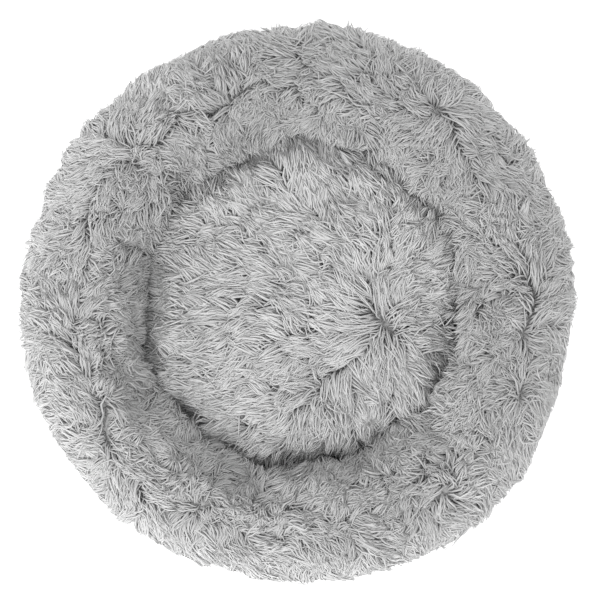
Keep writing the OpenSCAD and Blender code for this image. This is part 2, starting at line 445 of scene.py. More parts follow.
wear(base_cloth, "cushion_base_cloth", "cushion")
for piece, node, body, slot, fill in (
    (front_left, RING_NODES[0], "bed", "plush_fur", 0.8),
    (back_right, RING_NODES[1], "bed", "plush_fur", 0.8),
    (fur_top, "cushion_fur_top", "cushion", "plush_fur", 0.7),
    (ring_liner, "ring_liner", "bed", "nonwoven_cloth", 0.8),
    (ring_filling, "ring_filling", "bed", "polyester_fibre", 0.8),
    (cushion_filling, "cushion_filling", "cushion", "polyester_fibre", 0.8),
):
    wear(piece, node, body)
print("backings:", [len(p.data.polygons) for p in (front_left, back_right, fur_top, base_cloth)])


# %% [markdown]
# ## How the pile lies
# Long pile parts where it is handled: it lies away from crowns, the little whorls that a hand
# leaves, and along the ring it falls to both sides of the crest. So each lock is combed away
# from the crowns and the crest, turned a little by drift, and drooped by its own weight.

# %% Crowns
RING_CROWNS = [  # direction in degrees, mm outwards from the crest, reach in mm
    (97, -11, 26), (140, -4, 26), (60, 27, 28), (42, -6, 26), (16, -8, 26), (-9, -17, 24),
    (-34, -8, 28), (-61, -34, 26), (-80, -30, 26), (-106, -4, 28), (-139, 16, 26),
    (-157, -10, 24), (184, 30, 26), (165, 24, 22), (115, 24, 24), (-20, 36, 24),
]
CUSHION_CROWNS = [(103, 78, 1.6), (103, -27, 0.5), (23, -92, 0.9)]  # x and y in mm, strength
PARTING = ((23, 45), (27, -85))
SECTION_RADIUS = 58 * MM  # of a round tube with as much cloth round it as the ring has
WHORL = math.radians(38)  # how far the pile turns round a crown as it leaves it
RING_SWINGS = [(72, 50, 23), (38, 18, 24), (26, 9, 26)]  # degrees, width in mm, seed
CUSHION_SWINGS = [(32, 60, 31), (30, 20, 32), (16, 10, 33)]
RING_RISE = (17, 20, 16)  # degrees: lying down, more where handled, more over the nest's edge
CUSHION_RISE = (16, 22, 26)  # degrees: lying down, more at a crown, more on the flank


def away_from(offset, reach, strength):
    """Vectors that point away from a crown at offset zero and fade with distance."""
    apart = np.linalg.norm(offset, axis=1, keepdims=True)
    return strength * np.exp(-((apart / reach) ** 2)) * offset / (apart + 16 * MM)


def turned(vectors, angles):
    cos, sin = np.cos(angles), np.sin(angles)
    return np.stack([vectors[:, 0] * cos - vectors[:, 1] * sin,
                     vectors[:, 0] * sin + vectors[:, 1] * cos], axis=1)


def swings(points, habit):
    """How far the pile turns aside at each point, from wide soft turns to small ones."""
    return sum(np.radians(most) * drift(points, width * MM, seed) for most, width, seed in habit)


def ring_chart(points):
    """Where points lie on the ring: their direction, and the way from the crest outwards."""
    turn = np.arctan2(points[:, 1], points[:, 0])
    radius = np.hypot(points[:, 0], points[:, 1])
    section = np.arctan2(points[:, 2] - (RING_TOP + ring_low[2]) / 2, radius - RING_MIDDLE)
    from_top = (math.pi / 2 - section + math.pi) % (2 * math.pi) - math.pi
    return turn, from_top * SECTION_RADIUS


def ring_crowns(points):
    """How the ring's crowns push the pile, and how near to one each point is."""
    turn, out = ring_chart(points)
    push = np.zeros((len(points), 2))
    near = np.zeros(len(points))
    for degrees, offset, reach in RING_CROWNS:
        along = (turn - math.radians(degrees) + math.pi) % (2 * math.pi) - math.pi
        apart = np.stack([along * RING_MIDDLE, out - offset * MM], axis=1)
        push += turned(away_from(apart, 1.2 * reach * MM, 0.62), WHORL)
        near += np.exp(-(np.linalg.norm(apart, axis=1) / (19 * MM)) ** 2)
    return push, np.minimum(near, 1)


def cushion_crowns(points):
    """The same for the cushion, whose three crowns comb all of it."""
    push = np.zeros((len(points), 2))
    near = np.zeros(len(points))
    for x, y, strength in CUSHION_CROWNS:
        offset = points[:, :2] - np.array([x, y]) * MM
        push += offset / (np.linalg.norm(offset, axis=1, keepdims=True) + 12 * MM)
        push += turned(away_from(offset, 34 * MM, strength), WHORL)
        near += np.exp(-(np.linalg.norm(offset, axis=1) / (17 * MM)) ** 2)
    start, end = (np.array(p) * MM for p in PARTING)
    along = np.clip((points[:, :2] - start) @ (end - start) / np.sum((end - start) ** 2), 0, 1)
    from_parting = points[:, :2] - (start + along[:, None] * (end - start))
    return push + away_from(from_parting, 13 * MM, 1.4), np.minimum(near, 1)


print("crowns", len(RING_CROWNS), "on the ring,", len(CUSHION_CROWNS), "on the cushion")


# %% Combing
def comb_ring(points, normals, seed):
    """The direction along the cloth in which each lock of the ring lies, and its rise."""
    turn, out = ring_chart(points)
    push, near = ring_crowns(points)
    crest = 14 * MM * drift(points * [1, 1, 0], 70 * MM, 21)
    sideways = 1.3 * drift(points, 60 * MM, 22)
    falling = 0.7 * drift(points, 45 * MM, 25) + np.tanh((out - crest) / (42 * MM))
    flow = push + np.stack([sideways, falling], axis=1)
    on_wall = np.clip((np.abs(out) - 50 * MM) / (30 * MM), 0, 1)
    stray = np.random.default_rng(seed).normal(0, 1, len(points))
    swing = swings(points, RING_SWINGS) * (1 - 0.3 * on_wall)
    flow = unit(turned(flow, swing + np.radians(15 + 34 * near) * stray))
    around = np.stack([-np.sin(turn), np.cos(turn), np.zeros(len(turn))], axis=1)
    around = unit(around - normals * np.sum(around * normals, axis=1, keepdims=True))
    outwards = np.cross(around, normals)
    handled = 0.3 * np.exp(-(((out + 18 * MM) / (36 * MM)) ** 2))
    overhang = np.exp(-(((out + 66 * MM) / (20 * MM)) ** 2))
    lay = unit(around * flow[:, :1] + outwards * flow[:, 1:])
    lying, where_handled, over_edge = RING_RISE
    return lay, lying + where_handled * np.minimum(near + handled, 1) + over_edge * overhang


def comb_cushion(points, normals, seed):
    """The same for the cushion, whose pile stands out from its flank and fills the gap."""
    flow, near = cushion_crowns(points)
    stray = np.random.default_rng(seed).normal(0, 1, len(points))
    swing = swings(points, CUSHION_SWINGS)
    flow = unit(turned(flow, swing + np.radians(11 + 28 * near) * stray))
    lay = np.stack([flow[:, 0], flow[:, 1], np.zeros(len(flow))], axis=1)
    lay = unit(lay - normals * np.sum(lay * normals, axis=1, keepdims=True))
    flank = np.clip((0.6 - normals[:, 2]) / 0.4, 0, 1)
    lying, at_crown, on_flank = CUSHION_RISE
    return lay, lying + at_crown * near + on_flank * flank


print("the pile rises", RING_RISE[0], "degrees on the ring,", CUSHION_RISE[0], "on the cushion")


# %% [markdown]
# ## Growing the pile
# A lock of pile is a few hundred fibres that cling together and end in a point. At this size one
# lock is one closed spindle of three sides, bent like the fibres: it leaves the cloth
# steeply, lies over along the comb and curls at its tip. Neighbouring tips are drawn
# together into tufts. Hair curves would be simpler, but they don't survive an export.

# %% One lock
STATIONS = np.array([0.0, 0.3, 0.6, 0.85])  # along a lock, before its tip at 1
WIDTHS = np.array([0.8, 1.0, 0.82, 0.48])
SIDES = 3
LENGTHS = (0.7, 1.12)  # the shortest and the longest lock, as shares of the pile's length
BIG_TUFT = (120, 0.36)  # locks in a tuft, and how far its tips are drawn together
SMALL_TUFT = (14, 0.62)
BEND = 9 * MM  # sideways at the middle of a lock
CURL = 5 * MM  # sideways one way and then the other
LOCK_POINTS = len(STATIONS) * SIDES + 1


def lock_faces():
    """The corner numbers of one lock's faces: its root, its sides and its tip."""
    faces = [tuple(range(SIDES))[::-1]]
    for ring in range(len(STATIONS) - 1):
        for side in range(SIDES):
            after = (side + 1) % SIDES
            a = ring * SIDES
            faces.append((a + side, a + after, a + SIDES + after, a + SIDES + side))
    last = (len(STATIONS) - 1) * SIDES
    for side in range(SIDES):
        faces.append((last + side, last + (side + 1) % SIDES, LOCK_POINTS - 1))
    return faces


print("one lock:", LOCK_POINTS, "points,", len(lock_faces()), "faces")


# %% Roots and tufts
def scatter(piece, count, seed, wanted):
    """Random roots over piece, by area: places and the cloth's own normals there."""
    mesh = piece.data
    mesh.calc_loop_triangles()
    corner = np.array([t.vertices for t in mesh.loop_triangles])
    points = coordinates(mesh)
    normal = np.array([v.normal for v in mesh.vertices])
    a, b, c = points[corner[:, 0]], points[corner[:, 1]], points[corner[:, 2]]
    area = np.linalg.norm(np.cross(b - a, c - a), axis=1) * wanted((a + b + c) / 3)
    chance = np.random.default_rng(seed)
    pick = chance.choice(len(area), count, p=area / area.sum())
    share = np.sort(chance.random((count, 2)), axis=1)
    weights = np.stack([share[:, 0], share[:, 1] - share[:, 0], 1 - share[:, 1]], axis=1)
    place = np.einsum("ij,ijk->ik", weights, points[corner[pick]])
    facing = unit(np.einsum("ij,ijk->ik", weights, normal[corner[pick]]))
    return place, facing


def tufted(tips, every, draw, seed):
    """How far tips are drawn towards the nearest of a few chosen ones, to end in tufts."""
    chance = np.random.default_rng(seed)
    leaders = chance.choice(len(tips), max(1, len(tips) // every), replace=False)
    tree = kdtree.KDTree(len(leaders))
    for index, leader in enumerate(leaders):
        tree.insert(tips[leader], index)
    tree.balance()
    nearest = np.array([tree.find(tip)[1] for tip in tips])
    return (tips[leaders[nearest]] - tips) * (draw * chance.uniform(0.5, 1.2, (len(tips), 1)))


print("tufts of", BIG_TUFT[0], "and", SMALL_TUFT[0], "locks")


# %% Growing
def grow(roots, normals, lay, rise, length, width, droop, seed):
    """The points of every lock, as an array of locks by points by three."""
    chance = np.random.default_rng(seed)
    count = len(roots)
    length = length * chance.uniform(*LENGTHS, (count, 1))
    side = np.cross(lay, normals)
    length *= 1 + 0.2 * drift(roots, 18 * MM, seed + 4)[:, None]
    rise = rise + 12 * drift(roots, 26 * MM, seed + 1) + chance.normal(0, 8, count)
    rise = np.radians(np.clip(rise, 4, 80))[:, None]
    lean = chance.normal(0, 0.2, (count, 1))
    middle = roots + length * 0.45 * unit(0.6 * lay + normals + 0.8 * lean * side)
    tip = roots + length * 0.93 * unit(np.cos(rise) * lay + np.sin(rise) * normals + lean * side)
    tip[:, 2] -= droop * length[:, 0] * (1 - np.abs(normals[:, 2]))
    pull = tufted(tip, *BIG_TUFT, seed + 5)
    pull += tufted(tip + pull, *SMALL_TUFT, seed + 2)
    tip += pull
    middle += 0.3 * pull
    t = np.append(STATIONS, 1.0)[None, :, None]
    path = (1 - t) ** 2 * roots[:, None] + 2 * t * (1 - t) * middle[:, None] + t ** 2 * tip[:, None]
    bend = BEND * drift(roots, 15 * MM, seed + 3) + chance.normal(0, 0.24 * BEND, count)
    curl = CURL * drift(roots, 12 * MM, seed + 6) + chance.normal(0, 0.36 * CURL, count)
    away = bend[:, None, None] * np.sin(math.pi * t) + curl[:, None, None] * np.sin(2 * math.pi * t)
    path = path + away * side[:, None]
    over_base = np.hypot(path[..., 0], path[..., 1]) < base_high[0]
    path[..., 2] = np.maximum(path[..., 2], np.where(over_base, nest_high[2] + 1 * MM, 1.5 * MM))
    heading = np.gradient(path, axis=1)
    heading /= np.linalg.norm(heading, axis=2, keepdims=True)
    over = np.cross(side[:, None], heading)
    over /= np.maximum(np.linalg.norm(over, axis=2, keepdims=True), 1e-9)
    across = np.cross(heading, over)
    half = width / 2 * chance.uniform(0.65, 1.3, (count, 1, 1, 1)) * WIDTHS[None, :, None, None]
    roll = chance.uniform(0, 2 * math.pi, (count, 1, 1, 1))
    turn = roll + np.arange(SIDES)[None, None, :, None] * 2 * math.pi / SIDES
    spread = np.cos(turn) * across[:, :-1, None] + 0.7 * np.sin(turn) * over[:, :-1, None]
    ring = path[:, :-1, None] + half * spread
    return np.concatenate([ring.reshape(count, -1, 3), path[:, -1:]], axis=1)


print("locks are", [round(PILE_LENGTH * share / MM) for share in LENGTHS], "mm long")


# %% Locks into a piece
def pile_piece(name, locks, tone):
    """One mesh of many locks. Its UV map holds the lock's tone and the way from root to tip."""
    faces = lock_faces()
    count = len(locks)
    loops = np.concatenate([np.array(face) for face in faces])
    sizes = np.array([len(face) for face in faces])
    first = np.arange(count)[:, None]
    mesh = bpy.data.meshes.new(name)
    mesh.vertices.add(count * LOCK_POINTS)
    mesh.vertices.foreach_set("co", locks.astype(np.float32).ravel())
    mesh.loops.add(count * len(loops))
    mesh.loops.foreach_set("vertex_index", (first * LOCK_POINTS + loops).ravel())
    mesh.polygons.add(count * len(faces))
    starts = np.concatenate([[0], np.cumsum(sizes)[:-1]])
    mesh.polygons.foreach_set("loop_start", (first * len(loops) + starts).ravel())
    along = np.append(np.repeat(STATIONS, SIDES), 1.0)[loops]
    mesh.update(calc_edges=True)
    mesh.shade_smooth()
    layer = mesh.uv_layers.new(name="OFBake")
    uv = np.stack(np.broadcast_arrays(tone[:, None], along[None, :]), axis=2) * 0.96 + 0.02
    layer.data.foreach_set("uv", uv.astype(np.float32).ravel())
    return placed(name, mesh)


print("each lock has", sum(len(face) for face in lock_faces()), "face corners")


# %% [markdown]
# ## The pile on the ring and the cushion
# The ring's pile is worn shorter along the inner half of its crest, most of all on the near side,
# and painted a shade darker there: painted shade. Its outer rim is painted lighter: painted light.
# A lock's tone also drifts from place to place, as dye and dust do.
# The pile is dealt into pieces by direction, so that no piece has too many faces to export.

# %% The ring's pile
RING_LOCKS = 104000
CUSHION_LOCKS = 31000
LOCK_WIDTH = 2.5 * MM
PARTS = 14
WEAR_AND_SHADE_MOST = -98  # degrees, the near side, where the animal lies down and gets up and the pile is worn shortest; its painted shade is darkest there too


def ring_share(points):
    """How densely the ring's pile grows: denser at crowns, thinner low on its walls."""
    height = np.clip((points[:, 2] - 6 * MM) / (40 * MM), 0.15, 1.0) * on_walls(points)
    return height * (1 + 1.2 * ring_crowns(points)[1])


roots, facing = scatter(ring_tube, RING_LOCKS, 41, ring_share)
ring_lay, ring_rise = comb_ring(roots, facing, 45)
# The worn mask shortens the locks on the inner half of the crest, and the same mask paints shade
# into their tone there: painted shade.
wear_and_painted_shade = np.exp(-(((ring_chart(roots)[1] + 18 * MM) / (42 * MM)) ** 2))
root_degrees = np.degrees(np.arctan2(roots[:, 1], roots[:, 0]))
wear_and_painted_shade *= 1 + 0.7 * drift(roots, 55 * MM, 46) + 0.6 * bump(root_degrees, WEAR_AND_SHADE_MOST, 30)
ring_lengths = PILE_LENGTH * (1 - 0.24 * wear_and_painted_shade)[:, None]
ring_locks = grow(roots, facing, ring_lay, ring_rise, ring_lengths, LOCK_WIDTH, 0.25, 42)
# The outer rim is painted lighter in tone: painted light where the pile faces the side light.
rim = np.clip((ring_chart(roots)[1] - 50 * MM) / (30 * MM), 0, 1)
# The ring's tone: painted shade on the worn crest, painted light on the outer rim, and the pile's
# own random drift and scatter.
ring_tone_with_painted_light = np.clip(0.62 - 0.62 * wear_and_painted_shade + 0.16 * rim + 0.26 * drift(roots, 14 * MM, 43)
                    + np.random.default_rng(44).normal(0, 0.1, len(roots)), 0, 1)
turn_share = ((root_degrees - CROSS_SEAM) % 360) / 360
ring_pile = []
for number in range(PARTS):
    mine = (turn_share >= number / PARTS) & (turn_share < (number + 1) / PARTS)
    node = RING_NODES[0] if number < PARTS // 2 else RING_NODES[1]
    piece = pile_piece(f"{node}_pile_{number % (PARTS // 2) + 1}", ring_locks[mine], ring_tone_with_painted_light[mine])
    ring_pile.append(wear(piece, node, "bed"))
print("locks on the ring", len(roots))

# %% The cushion's pile
cushion_roots, cushion_facing = scatter(
    fur_top, CUSHION_LOCKS, 51, lambda p: 1 + 1.2 * cushion_crowns(p)[1]
)
cushion_lay, cushion_rise = comb_cushion(cushion_roots, cushion_facing, 55)
cushion_locks = grow(
    cushion_roots, cushion_facing, cushion_lay, cushion_rise, PILE_LENGTH, LOCK_WIDTH, 0.1, 52
)
cushion_tone = np.clip(0.62 + 0.28 * drift(cushion_roots, 14 * MM, 53)
                       + np.random.default_rng(54).normal(0, 0.1, len(cushion_roots)), 0, 1)
cushion_pile = []
quarter = (np.arctan2(cushion_roots[:, 1], cushion_roots[:, 0]) // (math.pi / 2)).astype(int) + 2
for number in range(4):
    mine = quarter == number
    piece = pile_piece(f"cushion_fur_top_pile_{number + 1}", cushion_locks[mine], cushion_tone[mine])
    cushion_pile.append(wear(piece, "cushion_fur_top", "cushion"))
for pattern in (ring_tube, cushion_pad):
    bpy.data.objects.remove(pattern)
print("locks on the cushion", len(cushion_roots))


# %% [markdown]
# ## The base and the nest's floor
# Under the ring lies a flat padded base: two halves of coated Oxford cloth that meet at a zip,
# wadding over them, and a plain floor cloth on top. Cloth that is stretched and sewn down
# still ripples a little, so each panel is a fine grid with a shallow drift in its height. Each
# half slopes up to the zip, in a trough that keeps the slider off the floor.

# %% Grids and half discs
tape_low, tape_high = corners("zip_tape_back")
film_z = widest("grip_dots_front", "grip_dots_back")[1][2]
BASE_RADIUS = base_high[0]
TROUGH_LENGTH = 410 * MM
TROUGH_WIDTH = 40 * MM
FOLD = 12 * MM  # from the middle of the zip to the end of the trough's slope
WINDOW = 6.2 * MM  # from the middle of the zip to the folded edge of the cloth
FINE = np.linspace(0, 1, 61)
PANEL_RIPPLE = 0.25 * MM
FLOOR_RIPPLE = 0.3 * MM


def grid_mesh(name, points):
    """A mesh of quads over a grid of points."""
    rows, columns = points.shape[:2]
    index = np.arange(rows * columns).reshape(rows, columns)
    a, b, c, d = index[:-1, :-1], index[1:, :-1], index[1:, 1:], index[:-1, 1:]
    return mesh_piece(name, points, np.stack([a, b, c, d], 2).reshape(-1, 4).tolist())


def half_disc(side, radius, gap, gap_length):
    """Points over half a disc; its straight edge stands back by gap along the middle."""
    x = radius * np.sin(np.linspace(-1, 1, 141) * math.pi / 2)
    start = np.where(np.abs(x) < gap_length / 2, gap, 0)
    end = np.sqrt(np.maximum(radius ** 2 - x ** 2, 0))
    y = start[:, None] + (np.maximum(end, start + 0.2 * MM) - start)[:, None] * FINE
    return np.broadcast_to(x[:, None], y.shape), side * y


print("the base is", round(2 * BASE_RADIUS / MM), "mm across")


# %% Base panels
for side, name in ((-1, "front"), (1, "back")):
    x, y = half_disc(side, BASE_RADIUS, WINDOW, TROUGH_LENGTH)
    away = np.abs(y)
    slope = np.clip((TROUGH_WIDTH / 2 - away) / (TROUGH_WIDTH / 2 - FOLD), 0, 1)
    ends = np.clip((TROUGH_LENGTH / 2 - np.abs(x)) / (3 * MM), 0, 1)
    ripple = PANEL_RIPPLE * (1 + drift(np.stack([x, y, 0 * x], 2).reshape(-1, 3), 32 * MM, 61))
    z = film_z + ripple.reshape(x.shape) + (tape_low[2] - 0.6 * MM - film_z) * slope * ends
    panel = thick(grid_mesh(f"base_panel_{name}_cloth", np.stack([x, y, z], 2)), 0.6 * MM, side)
    wear(panel, f"base_panel_{name}", "bed")

# %% Wadding
wadding_low, wadding_high = corners("base_wadding")
for side, name in ((-1, "front"), (1, "back")):
    x, y = half_disc(side, wadding_high[0], TROUGH_WIDTH / 2 + 2 * MM, TROUGH_LENGTH + 4 * MM)
    edge = np.minimum(wadding_high[0] - np.hypot(x, y), 8 * MM) / (8 * MM)
    low = np.full(x.shape, wadding_low[2] + 0.4 * MM)
    high = low + (wadding_high[2] - low) * (0.35 + 0.6 * np.sqrt(np.clip(edge, 0, 1)))
    rim = np.stack([x, y, low], 2)
    grid = np.concatenate([rim, np.stack([x, y, high], 2)[:, ::-1]], axis=1)
    pad = grid_mesh(f"base_wadding_{name}_sheet", np.concatenate([grid, grid[:, :1]], axis=1))
    wear(pad, "base_wadding", "bed")

# %% The nest's floor
turn, share = np.meshgrid(
    np.linspace(0, 2 * math.pi, 145), np.linspace(0.01, 1, 40), indexing="ij"
)
x = nest_high[0] * share * np.cos(turn)
y = nest_high[0] * share * np.sin(turn)
ripple = FLOOR_RIPPLE * drift(np.stack([x, y, 0 * x], 2).reshape(-1, 3), 40 * MM, 62)
z = nest_low[2] + 0.3 * MM + ripple.reshape(x.shape)
nest_floor = grid_mesh("nest_floor_cloth", np.stack([x, y, z], 2))
wear(thick(nest_floor, 0.5 * MM, 0), "nest_floor_panel", "bed")
print("the nest's floor is", round(2 * nest_high[0] / MM), "mm across")


# %% [markdown]
# ## The zip
# A coil zip is one spring of polyester wire on each tape, and each spring's loops lock
# between the loops of the other. The wire is wound, so it is swept along a flattened helix,
# half a turn apart on the two sides. The tapes are woven strips, sewn on both sides.

# %% Tapes and coils
COIL_PITCH = 1.8 * MM
WIRE = 0.32 * MM  # radius
WIRE_POINTS = 14  # in each turn
TAPE_WAVE = 0.08 * MM
coil_low, coil_high = corners("zip_coil_back")


def tube(name, path, radius, sides=6):
    """A closed round tube along a path, with pointed ends."""
    heading = unit(np.gradient(path, axis=0))
    over = unit(np.cross(heading, [0.03, 0.02, 1.0]))
    across = np.cross(heading, over)
    angle = np.linspace(0, 2 * math.pi, sides, endpoint=False)
    ring = over[:, None] * np.cos(angle)[:, None] + across[:, None] * np.sin(angle)[:, None]
    points = path[:, None] + ring * np.broadcast_to(radius, len(path))[:, None, None]
    return grid_mesh(name, np.concatenate([points, points[:, :1]], axis=1))


for side, name, shift in ((-1, "front", 0.5), (1, "back", 0.0)):
    turns = int((coil_high[0] - coil_low[0]) / COIL_PITCH) - 1
    t = np.linspace(0, turns, turns * WIRE_POINTS + 1)
    angle = 2 * math.pi * (t + shift)
    centre_y = (coil_low[1] + coil_high[1]) / 2
    x = coil_low[0] + COIL_PITCH * (t + 0.5 + shift)
    reach = (coil_high[1] - coil_low[1]) / 2 - WIRE
    y = side * (centre_y - reach * np.cos(angle))
    height = (coil_high[2] - coil_low[2]) / 2 - WIRE
    z = (coil_low[2] + coil_high[2]) / 2 + height * np.sin(angle)
    coil = tube(f"zip_coil_{name}_spring", np.stack([x, y, z], 1), WIRE)
    wear(coil, f"zip_coil_{name}", "bed")
    x, y = np.meshgrid(
        np.linspace(tape_low[0], tape_high[0], 401),
        np.linspace(tape_low[1], tape_high[1], 15), indexing="ij"
    )
    tape_width = tape_high[1] - tape_low[1]
    wave = TAPE_WAVE * np.sin(x / (2.1 * MM)) * np.sin(math.pi * (y - tape_low[1]) / tape_width)
    z = tape_low[2] + 0.3 * MM + wave
    tape = grid_mesh(f"zip_tape_{name}_strip", np.stack([x, side * y, z], 2))
    wear(thick(tape, 0.45 * MM, 0), f"zip_tape_{name}", "bed")


print("coils of", turns, "turns")


# %% Slider, pull and stops
def softened(node, body, radius):
    """A CAD solid with its edges rounded, as cast and tumbled metal has them."""
    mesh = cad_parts[node].data.copy()
    shape = bmesh.new()
    shape.from_mesh(mesh)
    bmesh.ops.remove_doubles(shape, verts=shape.verts, dist=0.001 * MM)
    bmesh.ops.dissolve_limit(shape, angle_limit=0.02, verts=shape.verts, edges=shape.edges)
    shape.to_mesh(mesh)
    shape.free()
    piece = placed(f"{node}_metal", mesh)
    bevel = piece.modifiers.new("soft_edges", "BEVEL")
    bevel.width = radius
    bevel.segments = 2
    bevel.limit_method = "ANGLE"
    return wear(piece, node, body)


metal = [
    softened("zip_slider", "zip_slider", 0.16 * MM),
    softened("zip_pull", "zip_pull", 0.18 * MM),
    softened("zip_top_stops", "bed", 0.2 * MM),
    softened("zip_bottom_stop", "bed", 0.2 * MM),
]
print("metal parts", [piece.name for piece in metal])


# %% [markdown]
# ## Stitches and the label
# A lock stitch shows as a short bent bit of thread that dives into the cloth at both ends.
# Every stitch is one spindle of thread, laid end to end along its seam.

# %% A row of stitches
def stitches(name, middles, directions, length, radius, rise):
    """Spindles of thread, one at each middle, lying along its direction and bulging up."""
    t = np.linspace(-1, 1, 7)
    whole = []
    for middle, direction in zip(middles, directions):
        path = middle + t[:, None] * direction * length / 2
        path[:, 2] += rise * (1 - t ** 2)
        whole.append(tube("stitch", path, radius * np.sqrt(1.02 - t ** 2)))
    bpy.ops.object.select_all(action="DESELECT")
    for piece in whole:
        piece.select_set(True)
    bpy.context.view_layer.objects.active = whole[0]
    bpy.ops.object.join()
    whole[0].name = name
    return whole[0]


def round_seam(count, radius, z):
    """Middles and directions of stitches laid round a circle."""
    a = (np.arange(count) + 0.5) * 2 * math.pi / count
    middles = np.stack([radius * np.cos(a), radius * np.sin(a), np.full(count, z)], axis=1)
    return middles, np.stack([-np.sin(a), np.cos(a), 0 * a], axis=1)


print("the base seam is", round(2 * math.pi * BASE_RADIUS / MM), "mm long")


# %% The three seams
THREAD = 0.3 * MM  # radius of the seams' thread; the zip's is finer
ZIP_THREAD = 0.25 * MM
BASE_STITCHES = 160
thread_high = corners("base_seam_stitching")[1]
middles, directions = round_seam(BASE_STITCHES, BASE_RADIUS - 4 * MM, thread_high[2])
base_thread = stitches("base_seam_stitching_thread", middles, directions, 7 * MM, THREAD, -0.3 * MM)
wear(base_thread, "base_seam_stitching", "bed")

seam_points = pad_points[seam_row]
seam_points = seam_points[np.argsort(np.arctan2(seam_points[:, 1], seam_points[:, 0]))]
following = np.roll(seam_points, -1, axis=0)
outwards = unit(seam_points * [1, 1, 0])
cushion_thread = stitches(
    "cushion_seam_stitching_thread", seam_points + 0.4 * MM * outwards,
    unit(following - seam_points), 6 * MM, THREAD, 0.2 * MM
)
wear(cushion_thread, "cushion_seam_stitching", "cushion")

zip_thread_low, zip_thread_high = corners("zip_stitching")
along = np.arange(zip_thread_low[0] + 1.3 * MM, zip_thread_high[0], 4 * MM)
middles = [(x, side * 9 * MM, zip_thread_high[2] + 0.05 * MM) for side in (-1, 1) for x in along]
zip_thread = stitches(
    "zip_stitching_thread", np.array(middles), np.tile([1.0, 0, 0], (len(middles), 1)),
    3 * MM, ZIP_THREAD, -0.3 * MM
)
wear(zip_thread, "zip_stitching", "bed")

print("threads", [len(p.data.polygons) for p in (base_thread, cushion_thread, zip_thread)])

# %% Label
label_low, label_high = corners("care_label")
x, y = np.meshgrid(np.linspace(label_low[0], label_high[0], 26),
                   np.linspace(label_low[1], label_high[1], 41), indexing="ij")
curl = 0.1 * MM * np.cos((y - label_low[1]) / (4 * MM))
label = grid_mesh("care_label_satin", np.stack([x, y, label_low[2] + 0.15 * MM + curl], 2))
wear(thick(label, 0.15 * MM, 0), "care_label", "cushion")
print("label", label.name)


# %% [markdown]
# ## Materials
# Each material is a graph of nodes. One function adds a node with its settings and links.
# Polyester has an index of refraction of about 1.57 and soft PVC 1.53. The scale of every
# pattern comes from its real pitch; where a thread is too fine to be seen, it is drawn coarser.

# %% Nodes
def linear(code):
    """An sRGB hex colour as the linear values that shaders use."""
    values = [int(code[i:i + 2], 16) / 255 for i in (1, 3, 5)]
    return [v / 12.92 if v <= 0.04045 else ((v + 0.055) / 1.055) ** 2.4 for v in values] + [1.0]


def add(tree, kind, settings=None, **links):
    """Adds a node. Settings are its properties; a link is a socket or a plain value.
    An input is named, with _ for a space, or numbered, as in i0."""
    node = tree.nodes.new(kind)
    for key, value in (settings or {}).items():
        setattr(node, key, value)
    for key, value in links.items():
        numbered = key[0] == "i" and key[1:].isdigit()
        socket = node.inputs[int(key[1:])] if numbered else node.inputs[key.replace("_", " ")]
        if isinstance(value, bpy.types.NodeSocket):
            tree.links.new(value, socket)
        else:
            socket.default_value = value
    return node


def graph(name, **values):
    """A new material's node tree and shader, with plain values on the shader's own sockets."""
    material = bpy.data.materials.new(name)
    material.use_nodes = True
    tree = material.node_tree
    tree.nodes.clear()
    shader = add(tree, "ShaderNodeBsdfPrincipled", **values)
    add(tree, "ShaderNodeOutputMaterial", Surface=shader.outputs["BSDF"])
    return material, tree, shader


def colour_by(tree, shader, factor, *stops):
    """Colours the shader by a factor, through a ramp of (place, hex colour) stops."""
    ramp = add(tree, "ShaderNodeValToRGB", Fac=factor)
    elements = ramp.color_ramp.elements
    while len(elements) < len(stops):
        elements.new(0.5)
    for element, (place, code) in zip(elements, stops):
        element.position = place
        element.color = linear(code)
    tree.links.new(ramp.outputs["Color"], shader.inputs["Base Color"])
    return ramp


def relief(tree, shader, height, depth):
    bump_map = add(tree, "ShaderNodeBump", Height=height, Strength=1.0, Distance=depth)
    tree.links.new(bump_map.outputs["Normal"], shader.inputs["Normal"])


print("mid grey in linear light", round(linear("#808080")[0], 3))


# %% Finishes
def bands(pitch):
    """The scale at which a wave texture has one band in each pitch."""
    return math.pi / 10 / pitch


def finish(material, *starts):
    """Puts a material on every piece, apart from pile, whose name has one of the starts."""
    covered = [piece for piece in bpy.data.objects if piece.type == "MESH"
               and piece.name.startswith(starts) and "_pile_" not in piece.name]
    for piece in covered:
        piece.data.materials.clear()
        piece.data.materials.append(material)
    print(material.name, "on", len(covered), "pieces")


def one_pattern(name, kind, output, inputs, stops, depth=0, settings=None, **surface):
    """A material whose one pattern colours it and, unless depth is 0, raises it."""
    material, tree, shader = graph(name, **surface)
    place = add(tree, "ShaderNodeTexCoord")
    pattern = add(tree, kind, settings, Vector=place.outputs["Object"], **inputs)
    colour_by(tree, shader, pattern.outputs[output], *stops)
    if depth:
        relief(tree, shader, pattern.outputs[output], depth)
    return material


print("a 1 mm pitch is a wave scale of", round(bands(MM), 1))


# %% [markdown]
# ## Plush pile
# Brushed polyester pile is pale and soft at its tips. Its roots shade each other, and that shade is
# painted into the colour as painted shade, darker towards each root. A hair shader would need real
# hair; here the plain shader with a little sheen gives the same softness on mesh locks, and a map
# over each lock says how far up it a point is.

# %% Plush pile
# The root grey is painted shade: the roots are darkened in colour for the shade the locks cast on
# each other.
PAINTED_SHADE_ROOT_GREY, MIDDLE_GREY, TIP_GREY = "#a4a4a4", "#b2b2b2", "#c6c6c6"


